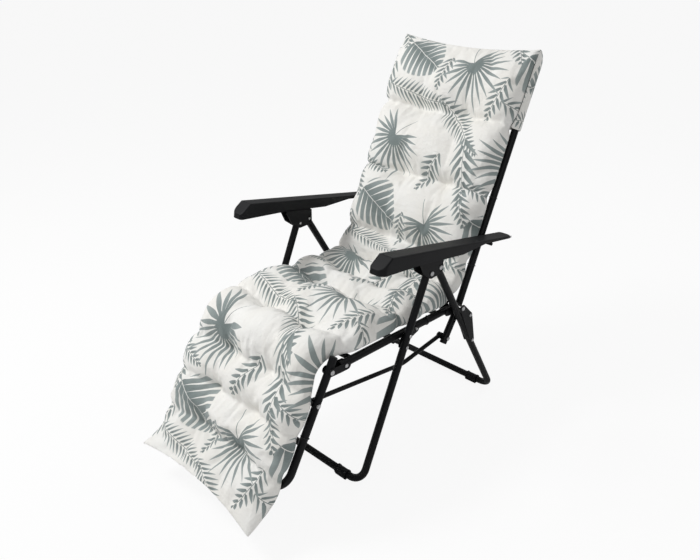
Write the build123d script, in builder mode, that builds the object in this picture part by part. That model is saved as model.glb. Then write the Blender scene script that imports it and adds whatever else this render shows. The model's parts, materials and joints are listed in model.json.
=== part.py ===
from build123d import *
from math import atan2, cos, degrees, hypot, radians, sin, tan
import os

# Reclining garden armchair: a folding steel tube frame with a tufted mat.
# Millimetres. +X is the sitter's left, the front looks to -Y, +Z is up.
# The origin is on the floor, mid-width and mid-depth.
os.makedirs("parts", exist_ok=True)

# Tubes and the lanes that their centre lines run in, as distances from mid-width
tube_d = 22.0
tube_wall = 1.5
strut_d = 13.0
strut_wall = 1.5
frame_lane = 237.5
leg_lane = 265.0
strut_lane = 217.0
sheet = 2.0
run_gap = 0.3
lane_gap = 0.6
fit_gap = 0.2
weld_gap = 0.1
pin_gap = 0.15
linkage_play = 1.5
overrun = 2.0

# Pivots in the side view: back, leg rest, rear leg, armrest and rear leg's top
hip_y = 238.7
hip_z = 395.0
seat_over_hip = 14.5
seat_short_of_hip = 26.0
seat_tube_length = 498.0
seat_slope = 3.16
knee_reach = 38.0
rear_leg_pivot_forward = 31.0
rear_leg_pivot_up = 24.0
arm_pivot_y = 37.7
arm_pivot_z = 600.0
leg_tops_apart = 40.0
leg_tops_rise = 4.5

# Back frame
back_lean = 24.8
back_length = 742.0
back_corner_r = 70.0
back_heel_lean = 33.7
back_heel_length = 101.0
back_heel_end = 16.0
back_bend_r = 90.0
peg_up = 218.0
peg_d = 10.0
peg_reach = 34.0

# Leg rest
shin_lean = 30.0
shin_length = 345.0
shin_stub = 36.0
shin_corner_r = 62.0
strut_front_down = 93.4
strut_front_forward = 3.8

# Strut between the back's heel and the leg rest
strut_bend_share = 0.325
strut_bend_drop = 34.0
strut_bend_r = 160.0
eye_d = 20.0
eye_width = 12.0
bush_d = 17.0

# Legs
foot_sleeve_wall = 2.5
foot_sleeve_length = 42.0
front_foot_y = -229.3
rear_foot_y = 433.7
leg_corner_r = 46.0
leg_stub = 13.0
foot_sleeve_inset = 8.0
foot_rib_width = 4.0
foot_rib_rise = 1.2

# Bolts, pins and rivets
pin_d = 8.0
pin_head_d = 14.0
pin_head_t = 3.0
rivet_d = 6.0
rivet_head_d = 11.0
rivet_head_t = 2.2
thin_nut_t = 2.2
nut_sides = 6
nut_r = 7.0
plug_stem = 7.0
plug_round_share = 0.6
plug_lip = 3.0

# Hinge forks at the two ends of the seat tubes
fork_height = 21.0
fork_length = 44.0
fork_nose_r = 11.0
fork_drop = 2.7
fork_rivet_in = 14.0

# Boot bracket on the rear leg and hook bracket on the front leg
boot_rivet_down = 381.0
boot_corner_down = 284.0
boot_corner_behind = 32.0
boot_lug_r = 11.5
boot_corner_r = 9.0
boot_web_share = 0.5
hook_top_down = 186.0
hook_rivets_apart = 34.0
hook_stud_back = 221.0
hook_stud_d = 8.0
hook_r = 9.0
hook_mouth_turn = 125.0

# Yoke on the front leg and bracket under the armrest
yoke_r = 12.0
yoke_top = 26.0
yoke_top_r = 6.0
bracket_r = 15.0
bracket_lobe_ahead = 33.0
bracket_lobe_up = 12.0
bracket_lobe_r = 10.0
bracket_foot_ahead = 60.0
bracket_foot_behind = 40.0
bracket_foot_r = 4.0
arm_swing_up = 12.5
arm_swing_down = 8.0
screw_d = 4.0
screw_head_d = 8.0
screw_head_t = 2.0
screw_length = 14.0
screw_boss_d = 11.0

# Armrest
arm_slope = 10.5
arm_front = 242.0
arm_back = 374.0
arm_under = 44.5
arm_rear_rim = 61.0
arm_step_start = 110.0
arm_step_length = 110.0
arm_front_top = 82.0
arm_rear_top = 68.0
arm_nose_length = 34.0
arm_nose_lip = 50.0
arm_nose_under = 35.0
arm_nose_land = 66.0
arm_inner = 252.5
arm_width = 47.5
arm_wall = 3.0
arm_nose_r = 20.0
arm_tail_r = 11.0
arm_edge_r = 4.0
rail_t = 6.0
rail_first = 289.0
rail_last = 361.0
rail_end_land = 7.0
rail_notches = 6
rail_tip = 52.1
rail_notch_r = 5.6

# Mat: one padded length, tufted in rows, from the headrest's end down to the foot end
mat_half = 246.0
mat_pinch = 9.0
mat_lift = 3.2
mat_swell = 30.0
mat_row = 44.0
mat_tuft = 24.0
mat_end_row = 20.0
mat_side = 26.0
mat_side_swell = 12.0
mat_side_bow = 9.0
mat_lip = 12.0
mat_sag = 16.0
mat_seat_sag = 2.0
mat_flat_sag = 0.5
mat_tuft_column = 84.0
mat_overhang = 62.0
mat_neck_below = 177.0
mat_small = 139.0
head_half = 256.0
hood_t = 3.0
hood_gap = 1.0
hood_length = 246.0
hood_end_gap = 2.0
hip_bend_r = 135.0
knee_bend_r = 62.0
seat_mat_back = 156.0
seat_mat_short = 59.0
seat_row_share = 0.36
shin_mat_start = 87.0
shin_mat_overhang = 85.0
shin_mat_flare = 30.0
knee_half = 219.0
seam_gap = 0.3
bay_shares = (0, 0.2, 0.5, 0.8, 1)
swell_shares = (0, 0.68, 1, 0.68, 0)
tuft_fill_share = 0.8
end_tuft_share = 0.8
dome_share = 0.45

# Crossbars of the seat frame
crossbar_d = 16.0
front_bar_back = 48.0
rear_bar_front = 75.0

# Elastic ties
tie_d = 2.2
tie_gap = 0.3
tie_start = 40.0
tie_sweep = 235.0
clip_d = 5.4
clip_length = 6.0
tie_lead = 6.5

tube_r = tube_d / 2
foot_z = tube_r + foot_sleeve_wall


def side(x):
    """The side view as a sketch plane at distance x from mid-width: local x is +Y, local y is +Z."""
    return Plane(origin=(x, 0, 0), x_dir=(0, 1, 0), z_dir=(1, 0, 0))


def move(point, angle, distance):
    """A side-view point moved along an angle, in degrees from +Y towards +Z."""
    return (point[0] + distance * cos(radians(angle)), point[1] + distance * sin(radians(angle)))


def turn_of(start, end):
    """The angle of the line from one side-view point to another."""
    return degrees(atan2(end[1] - start[1], end[0] - start[0]))


def reach(start, end):
    return hypot(end[0] - start[0], end[1] - start[1])


def at(point, x):
    return (x, point[0], point[1])


# Side-view points, worked out from the sizes above
seat_angle = 180 - seat_slope
hip = (hip_y, hip_z)
seat_rear = (hip_y - seat_short_of_hip, hip_z + seat_over_hip)
seat_front = move(seat_rear, seat_angle, seat_tube_length)
knee = move(seat_front, seat_angle, knee_reach)
back_angle = 90 - back_lean
heel_angle = 270 - back_heel_lean
shin_angle = 270 - shin_lean
back_top = move(hip, back_angle, back_length)
heel_pin = move(hip, heel_angle, back_heel_length)
heel_end = move(heel_pin, heel_angle, back_heel_end)
peg = move(hip, back_angle, peg_up)
shin_top = move(knee, shin_angle + 180, shin_stub)
shin_foot = move(knee, shin_angle, shin_length)
strut_front = move(move(knee, shin_angle, strut_front_down), shin_angle - 90, strut_front_forward)
strut_angle = turn_of(heel_pin, strut_front)
strut_bend = move(
    move(heel_pin, strut_angle, reach(heel_pin, strut_front) * strut_bend_share),
    strut_angle + 90, strut_bend_drop,
)
rear_leg_pivot = (hip_y - rear_leg_pivot_forward, hip_z + rear_leg_pivot_up)
arm_pivot = (arm_pivot_y, arm_pivot_z)
leg_join = (arm_pivot_y + leg_tops_apart, arm_pivot_z + leg_tops_rise)
front_foot = (front_foot_y, foot_z)
rear_foot = (rear_foot_y, foot_z)
front_leg_angle = turn_of(front_foot, arm_pivot)
rear_leg_angle = turn_of(rear_foot, leg_join)
front_leg_top = move(arm_pivot, front_leg_angle, leg_stub)
rear_leg_top = move(leg_join, rear_leg_angle, leg_stub)

# Where the sheet-metal pieces stand across the width
frame_in = frame_lane - tube_r
frame_out = frame_lane + tube_r
leg_in = leg_lane - tube_r
leg_out = leg_lane + tube_r
fork_in = frame_in - run_gap - sheet
fork_out = frame_out + run_gap
flange_in = leg_in - lane_gap - sheet
flange_out = leg_out + lane_gap
cheek_in = flange_in - run_gap - fit_gap - sheet
cheek_out = flange_out + sheet + run_gap + fit_gap


def bent_tube(points, radii, diameter, wall):
    """A hollow tube along straight runs joined by tangent arcs."""
    with BuildLine() as route:
        FilletPolyline(*points, radius=radii)
    with BuildPart() as bent:
        with BuildSketch(Plane(route.line @ 0, z_dir=route.line % 0)):
            Circle(diameter / 2)
            Circle(diameter / 2 - wall, mode=Mode.SUBTRACT)
        sweep(path=route.line)
    return bent.part


def straight_tube(start, end, diameter, wall):
    """A hollow tube with square ends."""
    axis = Vector(*end) - Vector(*start)
    with BuildPart() as straight:
        with BuildSketch(Plane(start, z_dir=axis)):
            Circle(diameter / 2)
            Circle(diameter / 2 - wall, mode=Mode.SUBTRACT)
        extrude(amount=axis.length)
    return straight.part


def disc(point, x_from, x_to, diameter):
    """A round bar across the width, centred on a side-view point."""
    with BuildPart() as bar:
        with BuildSketch(side(x_from)):
            with Locations(point):
                Circle(diameter / 2)
        extrude(amount=x_to - x_from)
    return bar.part


def headed_pin(point, x_from, x_to, diameter, head_d, head_t, inner=True, outer=True):
    """A pin across the width with a low domed head at its inner end, outer end or both."""
    dome = head_t * dome_share
    with BuildPart() as pin:
        with BuildSketch(side(x_from)):
            with Locations(point):
                Circle(diameter / 2)
        extrude(amount=x_to - x_from)
        if outer:
            with BuildSketch(side(x_to)):
                with Locations(point):
                    Circle(head_d / 2)
            extrude(amount=head_t)
            chamfer(pin.edges().sort_by(Axis.X)[-1], dome)
        if inner:
            with BuildSketch(side(x_from)):
                with Locations(point):
                    Circle(head_d / 2)
            extrude(amount=-head_t)
            chamfer(pin.edges().sort_by(Axis.X)[0], dome)
    return pin.part


def drilled(piece, *holes):
    """The piece with round holes across the width: each is a point, x from, x to and diameter."""
    bits = [disc(*hole) for hole in holes]
    with BuildPart() as bored:
        add(piece)
        add(bits, mode=Mode.SUBTRACT)
    return bored.part


def group(*pieces):
    """Separate solids that share one node."""
    return Compound(children=[solid for piece in pieces for solid in piece.solids()])


def mirrored(piece):
    return mirror(piece, about=Plane.YZ)


def save(piece, name):
    piece.label = name
    export_step(piece, f"parts/{name}.step")


def save_sides(piece, name):
    """Write the piece on the sitter's left, and its mirror image on the right."""
    save(piece, f"{name}_left")
    save(mirrored(piece), f"{name}_right")


def save_pair(name, *pieces):
    """Write the pieces and their mirror images as one node."""
    save(group(*pieces, *[mirrored(piece) for piece in pieces]), name)


def plate(x, thickness, outline, *bores):
    """A plate lying in the side view, from a list of its corners and a list of bores in it."""
    with BuildPart() as flat:
        with BuildSketch(side(x)):
            with BuildLine():
                Polyline(*outline, close=True)
            make_face()
        extrude(amount=thickness)
    return flat.part


# Seat frame: two side tubes welded to two crossbars
back_bolt_d = pin_d + 2 * pin_gap
stud = move(seat_rear, seat_angle, hook_stud_back - seat_short_of_hip)
front_fork_rivet = move(seat_front, seat_angle + 180, fork_rivet_in)
rear_fork_rivet = move(seat_rear, seat_angle, fork_rivet_in)
side_tube = drilled(
    straight_tube(at(seat_rear, frame_lane), at(seat_front, frame_lane), tube_d, tube_wall),
    (stud, frame_in - overrun, frame_out + overrun, hook_stud_d + 2 * pin_gap),
    (front_fork_rivet, frame_in - overrun, frame_out + overrun, rivet_d + 2 * pin_gap),
    (rear_fork_rivet, frame_in - overrun, frame_out + overrun, rivet_d + 2 * pin_gap),
)
save_sides(side_tube, "seat_tube")


def crossbar(centre, name):
    """A bar between the side tubes, its ends coped to their round."""
    weld_r = tube_r + weld_gap
    bar = straight_tube(at(centre, -frame_lane), at(centre, frame_lane), crossbar_d, tube_wall)
    with BuildPart() as coped:
        add(bar)
        for lane in (-frame_lane, frame_lane):
            tube_way = (0, cos(radians(seat_angle)), sin(radians(seat_angle)))
            with BuildSketch(Plane(at(seat_rear, lane), z_dir=tube_way)):
                Circle(weld_r)
            extrude(amount=seat_tube_length, mode=Mode.SUBTRACT)
    save(coped.part, name)


crossbar(move(seat_front, seat_angle + 180, front_bar_back), "seat_crossbar_front")
crossbar(move(seat_rear, seat_angle, rear_bar_front), "seat_crossbar_rear")


def hinge_fork(circles, web_from, web_to, rivet, bores):
    """A channel folded from sheet: two cheeks beside the tube and a web under it."""
    with BuildPart() as fork:
        for x in (fork_in, fork_out):
            with BuildSketch(side(x)):
                for point, radius in circles:
                    with Locations(point):
                        Circle(radius)
                make_hull()
            extrude(amount=sheet)
        drop = tube_r + fit_gap
        with BuildSketch(side(fork_in)):
            with BuildLine():
                Polyline(
                    move(web_from, seat_angle + 90, drop),
                    move(web_to, seat_angle + 90, drop),
                    move(web_to, seat_angle + 90, drop + sheet),
                    move(web_from, seat_angle + 90, drop + sheet),
                    close=True,
                )
            make_face()
        extrude(amount=fork_out + sheet - fork_in)
    rivet_bore = (rivet, fork_in - overrun, fork_out + sheet + overrun, rivet_d + 2 * pin_gap)
    return drilled(fork.part, rivet_bore, *bores)


def lowered(point):
    """A point on the side tube's line, lowered to the middle of the fork's cheeks."""
    return move(point, seat_angle + 90, fork_drop)


fork_r = fork_height / 2
pivot_bore = (fork_in - overrun, fork_out + sheet + overrun, back_bolt_d)
front_fork_end = move(seat_front, seat_angle + 180, fork_length - knee_reach + fork_rivet_in)
front_fork = hinge_fork(
    [(knee, fork_nose_r), (lowered(front_fork_end), fork_r), (lowered(seat_front), fork_r)],
    seat_front, front_fork_end, front_fork_rivet, [(knee, *pivot_bore)],
)
save_sides(front_fork, "front_hinge_fork")

rear_fork_end = move(seat_rear, seat_angle, fork_length)
rear_fork = hinge_fork(
    [(hip, fork_nose_r), (rear_leg_pivot, fork_nose_r), (lowered(rear_fork_end), fork_r),
     (lowered(seat_rear), fork_r)],
    move(seat_rear, seat_angle, fit_gap), rear_fork_end, rear_fork_rivet,
    [(hip, *pivot_bore), (rear_leg_pivot, *pivot_bore)],
)
save_sides(rear_fork, "rear_hinge_fork")

fork_faces = (fork_in, fork_out + sheet)
save_pair("hinge_fork_rivets", *[
    headed_pin(point, *fork_faces, rivet_d, rivet_head_d, rivet_head_t, outer=outer)
    for point, outer in ((front_fork_rivet, True), (rear_fork_rivet, False))
])
save_pair("hook_studs", headed_pin(
    stud, frame_in, flange_in + sheet + fit_gap, hook_stud_d, pin_head_d, rivet_head_t, outer=False
))


# Back frame: one tube bent to an inverted U, with a cranked heel below each pivot
def u_points(ends, corner):
    """Corners of a U-shaped tube: the left side's points downwards or upwards, then the right side's back."""
    left = [at(point, ends) for point in corner]
    right = [at(point, -ends) for point in reversed(corner)]
    return left + right


back_tube = bent_tube(
    u_points(frame_lane, [heel_end, hip, back_top]),
    [back_bend_r, back_corner_r, back_corner_r, back_bend_r],
    tube_d, tube_wall,
)
through_frame = (frame_in - overrun, frame_out + overrun)
back_bores = [
    (hip, *through_frame, back_bolt_d),
    (heel_pin, *through_frame, back_bolt_d),
    (peg, *through_frame, peg_d + 2 * pin_gap),
]
far_side = [(point, -x_to, -x_from, bore_d) for point, x_from, x_to, bore_d in back_bores]
save(drilled(back_tube, *back_bores, *far_side), "back_tube")


def end_plug(end, lane, angle):
    """A domed plastic plug with a stem inside the tube and a lip over its end."""
    outward = (0, cos(radians(angle)), sin(radians(angle)))
    with BuildPart() as plug:
        with BuildSketch(Plane(at(end, lane), z_dir=outward)):
            Circle(tube_r - tube_wall - fit_gap)
        extrude(amount=-plug_stem)
        with BuildSketch(Plane(at(end, lane), z_dir=outward)):
            Circle(tube_r)
        extrude(amount=plug_lip)
        flats = plug.faces().filter_by(GeomType.PLANE)
        end_face = flats.sort_by(lambda face: face.center().dot(Vector(*outward)))[-1]
        fillet(end_face.edges(), plug_lip * plug_round_share)
    return plug.part


save_pair("back_end_plugs", end_plug(heel_end, frame_lane, heel_angle))
save_pair("back_pivot_pins", headed_pin(hip, *fork_faces, pin_d, pin_head_d, pin_head_t, outer=False))
save_pair("armrest_pegs", headed_pin(
    peg, frame_in - fit_gap, frame_out + peg_reach, peg_d, pin_head_d, pin_head_t, outer=False
))

# Leg rest: one tube bent to a U, its upper ends standing proud of the pivots
shin_tube = bent_tube(
    u_points(frame_lane, [shin_top, shin_foot]), [shin_corner_r, shin_corner_r], tube_d, tube_wall
)
shin_bores = [(knee, *through_frame, back_bolt_d), (strut_front, *through_frame, back_bolt_d)]
far_side = [(point, -x_to, -x_from, bore_d) for point, x_from, x_to, bore_d in shin_bores]
save(drilled(shin_tube, *shin_bores, *far_side), "leg_rest_tube")
save_pair("leg_rest_plugs", end_plug(shin_top, frame_lane, shin_angle + 180))
save_pair("leg_rest_pivot_pins", headed_pin(knee, *fork_faces, pin_d, pin_head_d, rivet_head_t))

# Struts: a thin cranked tube with a cross eye at each end
eye_faces = (strut_lane - eye_width / 2, strut_lane + eye_width / 2)
strut_tube = bent_tube(
    [at(point, strut_lane) for point in (heel_pin, strut_bend, strut_front)],
    [strut_bend_r], strut_d, strut_wall,
)
eye_inside = (strut_lane - strut_d, strut_lane + strut_d)
tube_seats = [disc(point, *eye_inside, eye_d - 2 * strut_wall) for point in (heel_pin, strut_front)]
eyes = [disc(point, *eye_faces, eye_d) for point in (heel_pin, strut_front)]
front_bore_d = pin_d + 2 * linkage_play
with BuildPart() as strut:
    add(strut_tube)
    add(tube_seats, mode=Mode.SUBTRACT)
    add(eyes)
save_sides(drilled(
    strut.part,
    (heel_pin, eye_faces[0] - overrun, eye_faces[1] + overrun, back_bolt_d),
    (strut_front, eye_faces[0] - overrun, eye_faces[1] + overrun, front_bore_d),
), "strut")

bush_faces = (eye_faces[1] + run_gap, frame_in - run_gap)
heel_bush = drilled(disc(heel_pin, *bush_faces, bush_d), (heel_pin, *bush_faces, back_bolt_d))
front_bush = drilled(disc(strut_front, *bush_faces, bush_d), (strut_front, *bush_faces, front_bore_d))
save_pair("strut_bushes", heel_bush, front_bush)


def strut_bolt(point):
    """A bolt from the strut's inner face to a thin nut outside the frame tube."""
    bolt = headed_pin(
        point, eye_faces[0] - fit_gap, frame_out + fit_gap, pin_d, pin_head_d, pin_head_t, outer=False
    )
    with BuildPart() as nutted:
        add(bolt)
        with BuildSketch(side(frame_out + fit_gap)):
            with Locations(point):
                RegularPolygon(nut_r, nut_sides)
        extrude(amount=thin_nut_t)
    return nutted.part


save_pair("strut_heel_bolts", strut_bolt(heel_pin))
save_pair("strut_front_bolts", strut_bolt(strut_front))

# Front and rear legs: a U of tube each, with its bar on the floor
through_leg = (leg_in - overrun, leg_out + overrun)
leg_bolt_bore = pin_d + 2 * pin_gap
rivet_bore = rivet_d + 2 * pin_gap


def along(start, end, distance):
    return move(start, turn_of(start, end), distance)


hook_rivets = [
    along(arm_pivot, front_foot, down) for down in (hook_top_down, hook_top_down + hook_rivets_apart)
]
boot_rivet = along(leg_join, rear_foot, boot_rivet_down)


def leg_frame(top, foot, bores, name):
    tube = bent_tube(u_points(leg_lane, [top, foot]), [leg_corner_r, leg_corner_r], tube_d, tube_wall)
    cuts = [(point, *through_leg, bore_d) for point, bore_d in bores]
    mirrored_cuts = [(point, -through_leg[1], -through_leg[0], bore_d) for point, bore_d in bores]
    save(drilled(tube, *cuts, *mirrored_cuts), name)


leg_frame(
    front_leg_top, front_foot,
    [(arm_pivot, leg_bolt_bore)] + [(point, rivet_bore) for point in hook_rivets], "front_leg_tube",
)
leg_frame(rear_leg_top, rear_foot, [(leg_join, leg_bolt_bore), (boot_rivet, rivet_bore)], "rear_leg_tube")
save_pair(
    "leg_top_plugs_front", end_plug(front_leg_top, leg_lane, front_leg_angle)
)
save_pair(
    "leg_top_plugs_rear", end_plug(rear_leg_top, leg_lane, rear_leg_angle)
)


def foot_sleeves(foot, name):
    """Two plastic sleeves round a floor bar, each with a flat sole and a rib at both ends."""
    outer = leg_lane - leg_corner_r - foot_sleeve_inset
    inner = outer - foot_sleeve_length
    sole_half = tube_r
    with BuildPart() as sleeve:
        with BuildSketch(side(inner)):
            with Locations(foot):
                Circle(tube_r + foot_sleeve_wall)
            with Locations((foot[0], foot[1] / 2)):
                Rectangle(2 * sole_half, foot[1])
            with Locations(foot):
                Circle(tube_r + weld_gap, mode=Mode.SUBTRACT)
        extrude(amount=foot_sleeve_length)
        for x in (inner, outer - foot_rib_width):
            with BuildSketch(side(x)):
                with Locations(foot):
                    Circle(tube_r + foot_sleeve_wall + foot_rib_rise)
                    Circle(tube_r + weld_gap, mode=Mode.SUBTRACT)
                with Locations((foot[0], -foot[1])):
                    Rectangle(2 * seat_tube_length, 2 * foot[1], mode=Mode.SUBTRACT)
            extrude(amount=foot_rib_width)
    save_pair(name, sleeve.part)


foot_sleeves(front_foot, "foot_sleeves_front")
foot_sleeves(rear_foot, "foot_sleeves_rear")


# Boot bracket on the rear leg: two flanges, tied behind the leg, with the lug that the seat pivots on
flange_faces = (flange_in, flange_out + sheet)
through_flanges = (flange_in - overrun, flange_out + sheet + overrun)
boot_corner = move(
    along(leg_join, rear_foot, boot_corner_down), turn_of(leg_join, rear_foot) + 90, boot_corner_behind
)


def hull_plates(circles, faces):
    """Plates of one outline, hulled round circles, one starting at each of the given places."""
    with BuildPart() as plates:
        for x in faces:
            with BuildSketch(side(x)):
                for point, radius in circles:
                    with Locations(point):
                        Circle(radius)
                make_hull()
            extrude(amount=sheet)
    return plates.part


boot_circles = [(rear_leg_pivot, boot_lug_r), (boot_corner, boot_corner_r), (boot_rivet, boot_corner_r)]
boot_back = turn_of(boot_corner, boot_rivet)
web_out = boot_back + 90
web_start = move(move(boot_corner, web_out, boot_corner_r - weld_gap), boot_back, sheet)
web_end = move(web_start, boot_back, reach(boot_corner, boot_rivet) * boot_web_share)
with BuildPart() as boot:
    add(hull_plates(boot_circles, (flange_in, flange_out)))
    with BuildSketch(side(flange_in)):
        with BuildLine():
            Polyline(
                web_start, web_end, move(web_end, web_out, -sheet), move(web_start, web_out, -sheet),
                close=True,
            )
        make_face()
    extrude(amount=flange_out + sheet - flange_in)
save_sides(drilled(
    boot.part,
    (rear_leg_pivot, *through_flanges, leg_bolt_bore),
    (boot_corner, *through_flanges, rivet_bore),
    (boot_rivet, *through_flanges, rivet_bore),
), "boot_bracket")
save_pair("boot_rivets", *[
    headed_pin(point, *flange_faces, rivet_d, rivet_head_d, rivet_head_t, inner=False)
    for point in (boot_corner, boot_rivet)
])
save_pair("rear_leg_pivot_pins", headed_pin(
    rear_leg_pivot, fork_out, flange_out + sheet, pin_d, pin_head_d, pin_head_t, inner=False
))

# Hook bracket on the front leg: an open hook under the seat tube's stud
mouth_r = hook_stud_d / 2 + run_gap
hook_circles = [(point, hook_r) for point in hook_rivets] + [(stud, hook_r)]
mouth_end = move(stud, hook_mouth_turn, hook_r + tube_d)
with BuildPart() as hook:
    add(hull_plates(hook_circles, (flange_in,)))
    with BuildSketch(side(flange_in - overrun)):
        for point in (stud, mouth_end):
            with Locations(point):
                Circle(mouth_r)
        make_hull()
    extrude(amount=sheet + 2 * overrun, mode=Mode.SUBTRACT)
save_sides(drilled(
    hook.part, *[(point, *through_flanges, rivet_bore) for point in hook_rivets]
), "hook_bracket")
save_pair("hook_rivets", *[
    headed_pin(point, flange_in, leg_out + fit_gap, rivet_d, rivet_head_d, rivet_head_t, inner=False)
    for point in hook_rivets
])

# Yoke on top of the front leg: it holds the rear leg's top pivot beside the front leg's
yoke_left = (arm_pivot[0], arm_pivot[1] + yoke_top - yoke_top_r + sheet)
yoke_right = (leg_join[0], yoke_left[1])
yoke_circles = [
    (arm_pivot, yoke_r), (leg_join, yoke_r), (yoke_left, yoke_top_r), (yoke_right, yoke_top_r)
]
with BuildPart() as yoke:
    add(hull_plates(yoke_circles, (flange_in, flange_out)))
    with BuildSketch(side(flange_in)):
        with Locations(((yoke_left[0] + yoke_right[0]) / 2, yoke_left[1] + yoke_top_r - sheet / 2)):
            Rectangle(leg_tops_apart, sheet)
    extrude(amount=flange_out + sheet - flange_in)
save_sides(drilled(
    yoke.part, (arm_pivot, *through_flanges, leg_bolt_bore), (leg_join, *through_flanges, leg_bolt_bore)
), "leg_yoke")


# Armrest bracket: two lobed cheeks under a foot, each with a curved slot for the rear leg's top pin
def arm(back, up):
    """A side-view point from its distances behind and above the armrest's pivot, along its slope."""
    return move(move(arm_pivot, -arm_slope, back), 90 - arm_slope, up)


cheek_faces = (cheek_in, cheek_out + sheet)
through_cheeks = (cheek_in - overrun, cheek_out + sheet + overrun)
join_turn = turn_of(arm_pivot, leg_join)
join_reach = reach(arm_pivot, leg_join)
slot_ends = [
    move(arm_pivot, join_turn - arm_swing_up, join_reach),
    move(arm_pivot, join_turn + arm_swing_down, join_reach),
]
foot_up = arm_under - fit_gap - bracket_foot_r
bracket_circles = [
    (arm_pivot, bracket_r),
    (arm(-bracket_lobe_ahead, bracket_lobe_up), bracket_lobe_r),
    (arm(-bracket_foot_ahead, foot_up), bracket_foot_r),
    (arm(bracket_foot_behind, foot_up), bracket_foot_r),
] + [(end, bracket_lobe_r) for end in slot_ends]
foot_corners = [
    arm(-bracket_foot_ahead, arm_under - fit_gap), arm(bracket_foot_behind, arm_under - fit_gap),
    arm(bracket_foot_behind, arm_under - fit_gap - sheet),
    arm(-bracket_foot_ahead, arm_under - fit_gap - sheet),
]
screw_places = [-bracket_foot_ahead + screw_boss_d, -screw_boss_d]
arm_centre = arm_inner + arm_width / 2
bracket_centre = (cheek_in + cheek_out + sheet) / 2
with BuildPart() as bracket:
    add(hull_plates(bracket_circles, (cheek_in, cheek_out)))
    with BuildSketch(side(cheek_in)):
        with BuildLine():
            Polyline(*foot_corners, close=True)
        make_face()
    extrude(amount=cheek_out + sheet - cheek_in)
    for x in (cheek_in, cheek_out):
        with BuildSketch(side(x - overrun)):
            with BuildLine():
                slot_line = CenterArc(
                    arm_pivot, join_reach, join_turn - arm_swing_up, arm_swing_up + arm_swing_down
                )
            SlotArc(slot_line, pin_d + 2 * run_gap)
        extrude(amount=sheet + 2 * overrun, mode=Mode.SUBTRACT)
    for back in screw_places:
        up_axis = (0, sin(radians(arm_slope)), cos(radians(arm_slope)))
        with BuildSketch(Plane(at(arm(back, arm_under - fit_gap), bracket_centre), z_dir=up_axis)):
            Circle(screw_d / 2 + pin_gap)
        extrude(amount=-2 * sheet, mode=Mode.SUBTRACT)
bracket_solid = drilled(bracket.part, (arm_pivot, *through_cheeks, leg_bolt_bore))
save_sides(bracket_solid, "armrest_bracket")
save_pair("armrest_pivot_bolts", headed_pin(
    arm_pivot, *cheek_faces, pin_d, pin_head_d, pin_head_t, inner=False
))
save_pair("leg_join_pins", headed_pin(
    leg_join, *cheek_faces, pin_d, pin_head_d, rivet_head_t, inner=False
))

# Armrest: a moulded cap, open underneath, deep and raked at the nose, shallow over the notched rail
top_fall = (arm_front_top - arm_rear_top) / (arm_front - arm_nose_length + arm_back)


def arm_top(back):
    """Height of the armrest's top above its pivot line."""
    return arm_rear_top + (arm_back - back) * top_fall


def arm_block(inset, below):
    """The armrest's outer form, or its hollow when inset by the wall and run out below."""
    nose = -arm_front + inset
    brow = -arm_front + arm_nose_length
    tail = arm_back - inset
    step = arm_step_start + arm_step_length
    profile = [
        arm(nose, arm_nose_under - below), arm(-arm_nose_land, arm_under - below),
        arm(arm_step_start, arm_under - below), arm(step, arm_rear_rim - below),
        arm(tail, arm_rear_rim - below), arm(tail, arm_top(tail) - inset), arm(brow, arm_top(brow) - inset),
        arm(nose, arm_nose_lip - inset / 2),
    ]
    plan_plane = Plane(
        origin=at(arm(0, 0), arm_centre), x_dir=(0, cos(radians(arm_slope)), -sin(radians(arm_slope))),
        z_dir=(0, sin(radians(arm_slope)), cos(radians(arm_slope))),
    )
    with BuildPart() as block:
        with BuildSketch(side(arm_inner + inset)):
            with BuildLine():
                Polyline(*profile, close=True)
            make_face()
        extrude(amount=arm_width - 2 * inset)
        with BuildSketch(plan_plane) as plan:
            with Locations(((tail + nose) / 2, 0)):
                Rectangle(tail - nose, arm_width - 2 * inset)
            fillet(plan.vertices().sort_by(Axis.Y)[:2], arm_nose_r - inset)
            fillet(plan.vertices().sort_by(Axis.Y)[-2:], arm_tail_r - inset)
        extrude(amount=2 * arm_front_top, mode=Mode.INTERSECT)
    return block.part


arm_outer_form = arm_block(0, 0)
arm_hollow = arm_block(arm_wall, overrun)
arm_normal = Vector(0, sin(radians(arm_slope)), cos(radians(arm_slope)))
with BuildPart() as armrest:
    add(arm_outer_form)
    pivot_at = Vector(*at(arm_pivot, 0))
    heights = [(edge, (edge.center() - pivot_at).dot(arm_normal)) for edge in armrest.edges()]
    fillet([edge for edge, height in heights if height > arm_rear_rim + pin_gap], arm_edge_r)
    add(arm_hollow, mode=Mode.SUBTRACT)
    for back in screw_places:
        with BuildSketch(Plane(at(arm(back, arm_under), bracket_centre), z_dir=arm_normal)):
            Circle(screw_boss_d / 2)
        extrude(amount=arm_top(back) - arm_under - arm_wall / 2)
        with BuildSketch(Plane(at(arm(back, arm_under), bracket_centre), z_dir=arm_normal)):
            Circle(screw_d / 2 + pin_gap)
        extrude(amount=screw_length, mode=Mode.SUBTRACT)
save_sides(armrest.part, "armrest")


def armrest_screw(back):
    with BuildPart() as screw:
        seat_at = Plane(at(arm(back, arm_under - fit_gap - sheet), bracket_centre), z_dir=arm_normal)
        with BuildSketch(seat_at):
            Circle(screw_d / 2)
        extrude(amount=screw_length)
        with BuildSketch(seat_at):
            Circle(screw_head_d / 2)
        extrude(amount=-screw_head_t)
    return screw.part


arm_screws = [armrest_screw(back) for back in screw_places]
save(group(*arm_screws), "armrest_screws_left")
save(group(*[mirrored(screw) for screw in arm_screws]), "armrest_screws_right")

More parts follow.
